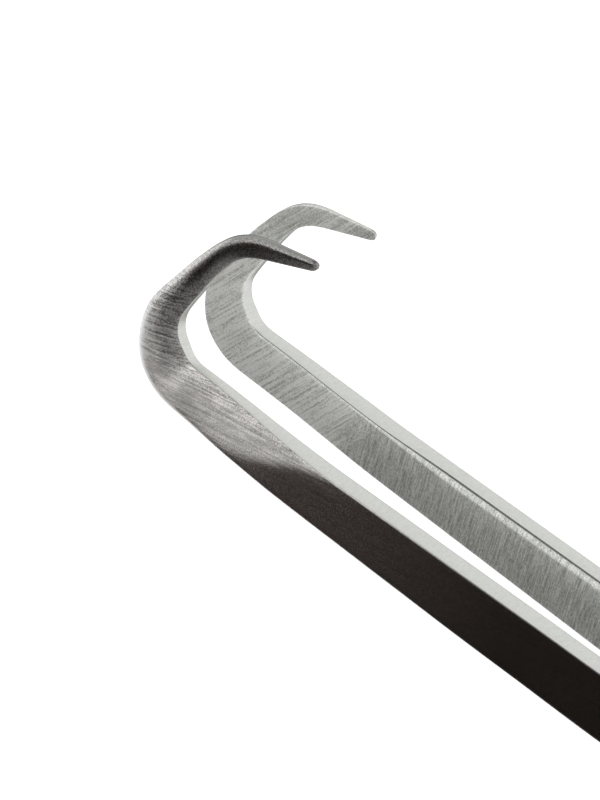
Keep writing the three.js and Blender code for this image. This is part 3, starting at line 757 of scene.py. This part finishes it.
# ---- Materials ----
class Nodes:
    """Short names for making a node material."""

    def __init__(self, name):
        self.material = bpy.data.materials.new(name)
        self.material.use_nodes = True
        self.tree = self.material.node_tree
        self.tree.nodes.clear()
        self.shader = self.add("ShaderNodeBsdfPrincipled")
        output = self.add("ShaderNodeOutputMaterial")
        self.link(self.shader.outputs["BSDF"], output.inputs["Surface"])

    def add(self, kind, **settings):
        node = self.tree.nodes.new(kind)
        for key, value in settings.items():
            setattr(node, key, value)
        return node

    def link(self, source, target):
        self.tree.links.new(source, target)

    def put(self, socket, value):
        if hasattr(value, "is_output"):
            self.link(value, socket)
        else:
            socket.default_value = value

    def math(self, operation, a, b):
        node = self.add("ShaderNodeMath", operation=operation)
        self.put(node.inputs[0], a)
        self.put(node.inputs[1], b)
        return node.outputs[0]

    def times(self, a, b):
        return self.math("MULTIPLY", a, b)

    def plus(self, a, b):
        return self.math("ADD", a, b)

    def mix(self, factor, a, b):
        node = self.add("ShaderNodeMix", data_type="FLOAT")
        self.put(node.inputs[0], factor)
        self.put(node.inputs[2], a)
        self.put(node.inputs[3], b)
        return node.outputs[0]

    def ramp(self, value, low, high, to_low=0.0, to_high=1.0):
        """A smooth change from to_low, where the value is low, to to_high. Low may be above high."""
        node = self.add("ShaderNodeMapRange", interpolation_type="SMOOTHSTEP")
        for socket, number in zip(node.inputs, (value, low, high, to_low, to_high)):
            self.put(socket, number)
        return node.outputs[0]

    def place(self):
        """Where the point is on the piece at rest, in millimetres."""
        node = self.add("ShaderNodeVectorMath", operation="SCALE")
        self.link(self.add("ShaderNodeTexCoord").outputs["Object"], node.inputs[0])
        node.inputs["Scale"].default_value = 1 / MM
        return node.outputs[0]

    def stretched(self, place, scale, angle_y=0.0, offset=(0, 0, 0)):
        """The place turned about Y and moved, and then scaled."""
        node = self.add("ShaderNodeMapping")
        turn = self.add("ShaderNodeMapping")
        turn.inputs["Rotation"].default_value = (0, math.radians(angle_y), 0)
        turn.inputs["Location"].default_value = offset
        self.link(place, turn.inputs["Vector"])
        self.link(turn.outputs[0], node.inputs["Vector"])
        node.inputs["Scale"].default_value = scale
        return node.outputs[0]

    def noise(self, vector, detail, roughness=0.55):
        node = self.add("ShaderNodeTexNoise")
        self.link(vector, node.inputs["Vector"])
        node.inputs["Scale"].default_value = 1.0
        node.inputs["Detail"].default_value = detail
        node.inputs["Roughness"].default_value = roughness
        return node.outputs["Fac"]

    def colour(self, factor, dark, light):
        node = self.add("ShaderNodeMix", data_type="RGBA")
        self.put(node.inputs[0], factor)
        node.inputs[6].default_value = (*dark, 1)
        node.inputs[7].default_value = (*light, 1)
        return node.outputs[2]

    def shade(self, tint, value):
        """The tint made as bright as the value."""
        node = self.add("ShaderNodeVectorMath", operation="SCALE")
        self.link(tint, node.inputs[0])
        self.link(value, node.inputs["Scale"])
        return node.outputs[0]

    def bump(self, height, distance_mm, strength):
        node = self.add("ShaderNodeBump")
        node.inputs["Distance"].default_value = distance_mm * MM
        node.inputs["Strength"].default_value = strength
        self.link(height, node.inputs["Height"])
        self.link(node.outputs["Normal"], self.shader.inputs["Normal"])


def arm_steel(name, side):
    """Ground stainless: rough cuts on the inner faces, long lines and ribs over a polish outside, with
    painted shade and painted highlights in its colour.
    """
    n = Nodes(name)
    place = n.place()
    split = n.add("ShaderNodeSeparateXYZ")
    n.link(place, split.inputs[0])
    x, z = split.outputs["X"], split.outputs["Z"]
    turned_to = n.add("ShaderNodeSeparateXYZ")
    n.link(n.add("ShaderNodeTexCoord").outputs["Normal"], turned_to.inputs[0])
    facing_x, facing_z = turned_to.outputs["X"], turned_to.outputs["Z"]
    outward = n.times(turned_to.outputs["Y"], float(side))
    inward = n.times(outward, -1.0)

    # where on the arm, by the way the surface faces and by its place
    outside = n.ramp(outward, 0.25, 0.6)
    inside = n.ramp(inward, 0.25, 0.6)
    upward = n.ramp(facing_z, 0.1, 0.25)
    worn_edge = n.times(upward, n.times(n.ramp(inward, 0.5, 0.65), n.ramp(inward, 1.0, 0.94)))
    dark_edge = n.times(upward, n.times(n.ramp(inward, 0.1, 0.2), n.ramp(inward, 0.65, 0.5)))
    wander = n.noise(n.stretched(place, (0.5, 0.5, 0.9)), 2.0)
    hook = n.ramp(n.plus(x, n.times(wander, 8.0)), HEEL_X + 26.0, HEEL_X + 17.0)
    raised = n.ramp(z, 12.0, 17.0)
    ribbed = n.times(n.ramp(z, 9.0, 12.5), n.ramp(z, 24.0, 18.0))
    mottled = n.times(outside, n.ramp(z, 18.0, 24.0, 0.0, 0.7))

    # what the grinding left there
    cuts = n.noise(n.stretched(place, (2.8, 0.5, 0.12), -28), 6.0, 0.9)
    cross = n.noise(n.stretched(place, (3.6, 0.8, 0.24), 10), 5.0, 0.9)
    long_lines = n.noise(n.stretched(place, (0.10, 0.5, 3.6), 10), 5.0, 0.8)
    ribs = n.noise(n.stretched(place, (0.12, 0.5, 3.4), 17), 4.0, 0.75)
    speckle = n.noise(n.stretched(place, (5.0, 5.0, 5.0)), 3.0, 0.8)
    inner_lines = n.mix(hook, cross, cuts)
    outer_lines = n.mix(n.ramp(z, 10.0, 13.0), long_lines, ribs)
    lines = n.mix(outside, inner_lines, outer_lines)
    lines = n.mix(mottled, n.mix(0.35, lines, speckle), speckle)

    # the ground part of the heel ends on a streaked slant, below which the outer face is polished, with
    # painted shade making it dark
    along_slant = n.times(n.math("SUBTRACT", x, HEEL_X + 3.5), -0.287)
    across_slant = n.times(n.math("SUBTRACT", z, 4.8), 0.958)
    streaks = n.times(n.math("SUBTRACT", long_lines, 0.5), 3.0)
    streaked = n.plus(n.plus(along_slant, across_slant), streaks)
    ground = n.times(n.ramp(streaked, -1.6, 4.0), n.ramp(z, 18.0, 8.0))

    # how deep the marks are
    polished_depth = n.mix(raised, 0.45, n.mix(ribbed, 1.0, 5.5))
    outer_depth = n.mix(ground, polished_depth, n.mix(ribbed, 1.6, 5.0))
    depth = n.mix(outside, n.mix(inside, 0.3, 1.8), outer_depth)
    marks = n.times(n.math("SUBTRACT", lines, 0.5), depth)
    n.bump(n.times(marks, n.mix(worn_edge, 0.6, 2.6)), 0.05, 1.0)

    # brightness of the outer face, with painted shade and painted light in it
    # painted shade: the polished face is painted darker from the heel back towards the pivot, and a flat
    # 0.4 over the raised part of the hook
    shaded_polish = n.mix(raised, n.ramp(x, HEEL_X + 10.0, HEEL_X + 60.0, 0.72, 0.22), 0.4)
    shaded_polish = n.times(shaded_polish, n.ramp(speckle, 0.4, 0.6, 0.78, 1.22))
    patches = n.noise(n.stretched(place, (0.35, 0.5, 0.9), 12), 2.0)
    outer = n.mix(ground, shaded_polish, n.ramp(patches, 0.3, 0.7, 0.52, 0.72))
    # painted light and shade: faces turned left and down are painted up to 1.85 times brighter, faces
    # turned right down to half as bright
    tilt = n.plus(facing_x, n.times(facing_z, 0.7))
    painted_facing_light = n.times(n.ramp(tilt, -0.35, 0.0, 1.85, 1.0), n.ramp(facing_x, 0.0, 0.22, 1.0, 0.5))
    outer = n.times(outer, painted_facing_light)
    # painted highlight: the outer rim of the heel and of the upright is painted up to 1.42 times brighter
    heel_rim_highlight = n.times(n.ramp(x, HEEL_X + 1.5, HEEL_X - 4.0), n.ramp(z, 13.0, 11.0))
    upright_rim_highlight = n.times(n.ramp(x, HEEL_X - 5.5, HEEL_X - 8.5), n.ramp(z, 11.0, 13.0))
    rim = n.times(n.plus(heel_rim_highlight, upright_rim_highlight), 0.42)
    outer = n.times(outer, n.plus(rim, 1.0))

    # brightness all over: the edges darken towards the tip as painted shade, the front arm's most
    edges = n.ramp(z, 22.0, 27.0, 0.86, 0.36 if side == FRONT else 0.8)
    inner = n.mix(hook, 0.78, n.ramp(z, 16.0, 28.0, 1.0, 0.78))
    tone = n.mix(outside, n.mix(inside, edges, inner), outer)
    tone = n.mix(worn_edge, tone, 0.88)
    tone = n.times(tone, n.ramp(marks, -0.25, 0.25, 0.45, 1.35))
    tint = n.colour(outside, (1.0, 1.015, 0.965), (1.0, 0.97, 0.94))
    n.link(n.shade(tint, tone), n.shader.inputs["Base Color"])

    # roughness
    polished_rough = n.mix(raised, 0.2, n.ramp(lines, 0.4, 0.6, 0.24, 0.3))
    polished_rough = n.plus(polished_rough, n.ramp(facing_x, 0.0, -0.25, 0.0, 0.2))
    sparkle = n.noise(n.stretched(place, (1.6, 1.6, 1.6)), 5.0, 0.85)
    rough = n.mix(inside, 0.3, n.mix(hook, 0.46, 0.55))
    rough = n.mix(outside, rough, n.mix(ground, polished_rough, 0.5))
    rough = n.mix(dark_edge, rough, 0.18)
    rough = n.mix(worn_edge, rough, n.ramp(sparkle, 0.42, 0.58, 0.14, 0.55))
    n.link(rough, n.shader.inputs["Roughness"])
    n.shader.inputs["Metallic"].default_value = 1.0
    return n.material


def plain_steel(name, tint, roughness, scale):
    """Bright metal with fine marks, which are lines where the scale differs along the axes."""
    n = Nodes(name)
    place = n.place()
    lines = n.noise(n.stretched(place, scale), 3.0, 0.6)
    n.bump(lines, 0.01, 0.6)
    dark = tuple(0.82 * c for c in tint)
    n.link(n.colour(lines, dark, tint), n.shader.inputs["Base Color"])
    n.link(n.ramp(lines, 0.2, 0.8, roughness, roughness + 0.14), n.shader.inputs["Roughness"])
    n.shader.inputs["Metallic"].default_value = 1.0
    return n.material


def oiled_wood(name, seed):
    """Oiled hardwood: long grain along the grip, fine dark pores and slow bands of tone."""
    n = Nodes(name)
    place = n.place()
    shift = (seed * 37.0, seed * 11.0, seed * 5.0)
    bands = n.noise(n.stretched(place, (0.018, 0.28, 0.28), 0, shift), 3.0, 0.5)
    grain = n.noise(n.stretched(place, (0.05, 1.9, 1.9), 0, shift), 4.0, 0.6)
    pores = n.noise(n.stretched(place, (0.28, 6.0, 6.0), 0, shift), 2.0, 0.5)
    pore_mask = n.ramp(pores, 0.62, 0.72)
    tone = n.ramp(n.plus(n.times(bands, 0.65), n.times(grain, 0.35)), 0.32, 0.68)
    wood = n.add("ShaderNodeMix", data_type="RGBA")
    n.link(pore_mask, wood.inputs[0])
    n.link(n.colour(tone, (0.13, 0.052, 0.02), (0.31, 0.145, 0.058)), wood.inputs[6])
    wood.inputs[7].default_value = (0.055, 0.022, 0.01, 1)
    n.link(wood.outputs[2], n.shader.inputs["Base Color"])
    n.link(n.ramp(grain, 0.2, 0.8, 0.34, 0.5), n.shader.inputs["Roughness"])
    n.bump(n.math("SUBTRACT", grain, n.times(pore_mask, 0.8)), 0.04, 0.7)
    n.shader.inputs["Coat Weight"].default_value = 0.18
    n.shader.inputs["Coat Roughness"].default_value = 0.25
    return n.material


def settle(piece, material, body, slot, *nodes):
    """Gives a piece its material and its body, and hides the CAD nodes that it stands for."""
    piece.data.materials.clear()
    piece.data.materials.append(material)
    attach(piece, body)
    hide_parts(*nodes)


FASTENER = plain_steel("turned steel", (0.72, 0.72, 0.71), 0.16, (2.5, 2.5, 2.5))
SPRING = plain_steel("spring wire", (0.5, 0.5, 0.51), 0.24, (1.5, 1.5, 1.5))
BLADE = plain_steel("blade steel", (0.68, 0.68, 0.67), 0.22, (0.25, 6.0, 0.25))
BRONZE = plain_steel("bearing bronze", (0.66, 0.44, 0.22), 0.3, (2.0, 2.0, 2.0))

front_arm()
rear_arm()
handles()
pivot()
limit_rod()
return_spring()
scraper_blade()
lock()


# ---- Floor, light and camera ----
def floor():
    """A wide pale floor just under the tool, left out of its reflections."""
    mesh = bpy.data.meshes.new("floor")
    half, below = 30.0, 0.2 * MM
    corners = [(-half, -half, 0), (half, -half, 0), (half, half, 0), (-half, half, 0)]
    mesh.from_pydata(corners, [], [(0, 1, 2, 3)])
    ground = bpy.data.objects.new("floor", mesh)
    bpy.context.scene.collection.objects.link(ground)
    ground.location.z = -below
    ground.visible_glossy = False
    n = Nodes("floor paint")
    n.shader.inputs["Base Color"].default_value = (0.9, 0.9, 0.9, 1)
    n.shader.inputs["Roughness"].default_value = 0.9
    n.shader.inputs["Emission Color"].default_value = (1, 1, 1, 1)
    n.shader.inputs["Emission Strength"].default_value = 0.6
    ground.data.materials.append(n.material)


def studio():
    """A light grey tent all round, with one bright card over the front and four dark ones."""
    world = bpy.data.worlds.new("studio")
    bpy.context.scene.world = world
    world.use_nodes = True
    tree = world.node_tree
    tree.nodes.clear()

    def add(kind, **settings):
        node = tree.nodes.new(kind)
        for key, value in settings.items():
            setattr(node, key, value)
        return node

    def ramp(value, low, high):
        node = add("ShaderNodeMapRange", interpolation_type="SMOOTHSTEP")
        tree.links.new(value, node.inputs[0])
        node.inputs[1].default_value = low
        node.inputs[2].default_value = high
        return node.outputs[0]

    direction = add("ShaderNodeTexCoord").outputs["Generated"]

    def towards(azimuth, elevation):
        """The cosine of the angle to a direction. Azimuth 0 is the front, -Y, and 90 is +X."""
        a, e = math.radians(azimuth), math.radians(elevation)
        node = add("ShaderNodeVectorMath", operation="DOT_PRODUCT")
        tree.links.new(direction, node.inputs[0])
        node.inputs[1].default_value = (
            math.sin(a) * math.cos(e), -math.cos(a) * math.cos(e), math.sin(e),
        )
        return node.outputs["Value"]

    def card(under, azimuth, elevation, half_angle, softness, colour):
        """Hangs a round card of one brightness over what is under it."""
        edge = math.radians(half_angle)
        shown = ramp(towards(azimuth, elevation), math.cos(edge + math.radians(softness)), math.cos(edge))
        mix = add("ShaderNodeMix", data_type="RGBA")
        tree.links.new(shown, mix.inputs[0])
        for socket, value in ((mix.inputs[6], under), (mix.inputs[7], colour)):
            if isinstance(value, tuple):
                socket.default_value = (*value, 1)
            else:
                tree.links.new(value, socket)
        return mix.outputs[2]

    tent, bright, dark = (0.86, 0.86, 0.86), (1.1, 1.1, 1.1), (0.08, 0.08, 0.08)
    light = card(tent, 0, 32, 22, 18, bright)
    light = card(light, 198, 68, 16, 10, dark)
    light = card(light, 180, -72, 14, 10, dark)
    light = card(light, 192, -17, 20, 12, (0.04, 0.04, 0.04))
    light = card(light, -2, -30, 26, 14, (0.05, 0.04, 0.036))
    background = add("ShaderNodeBackground")
    tree.links.new(light, background.inputs["Color"])
    background.inputs["Strength"].default_value = 1.0
    output = add("ShaderNodeOutputWorld")
    tree.links.new(background.outputs[0], output.inputs["Surface"])


VIEW_AZIMUTH, VIEW_ELEVATION, VIEW_ROLL = 17.99, 28.48, 27.62
VIEW_DISTANCE = 3.0  # metres
VIEW_HEIGHT = 104.221  # millimetres of the tool from the picture's top to its bottom
VIEW_MIDDLE = Vector((-110.164, -2.609, 13.366))  # the point at the picture's middle, in millimetres


def camera():
    """The photo's view, from so far off that the shanks hardly draw together."""
    data = bpy.data.cameras.new("camera")
    data.sensor_width = 36.0
    data.clip_start, data.clip_end = 0.05, 100.0
    data.lens = data.sensor_width * VIEW_DISTANCE / (VIEW_HEIGHT * MM)
    a, e, roll = (math.radians(v) for v in (VIEW_AZIMUTH, VIEW_ELEVATION, VIEW_ROLL))
    back = Vector((math.sin(a) * math.cos(e), -math.cos(a) * math.cos(e), math.sin(e)))
    right = Vector((0, 0, 1)).cross(back).normalized()
    up = back.cross(right)
    turned_right = math.cos(roll) * right + math.sin(roll) * up
    turned_up = math.cos(roll) * up - math.sin(roll) * right
    holder = bpy.data.objects.new("camera", data)
    bpy.context.scene.collection.objects.link(holder)
    rotation = Matrix((turned_right, turned_up, back)).transposed().to_4x4()
    holder.matrix_world = Matrix.Translation(VIEW_MIDDLE * MM + back * VIEW_DISTANCE) @ rotation
    bpy.context.scene.camera = holder


floor()
studio()
camera()
bpy.context.scene.view_settings.view_transform = "Standard"
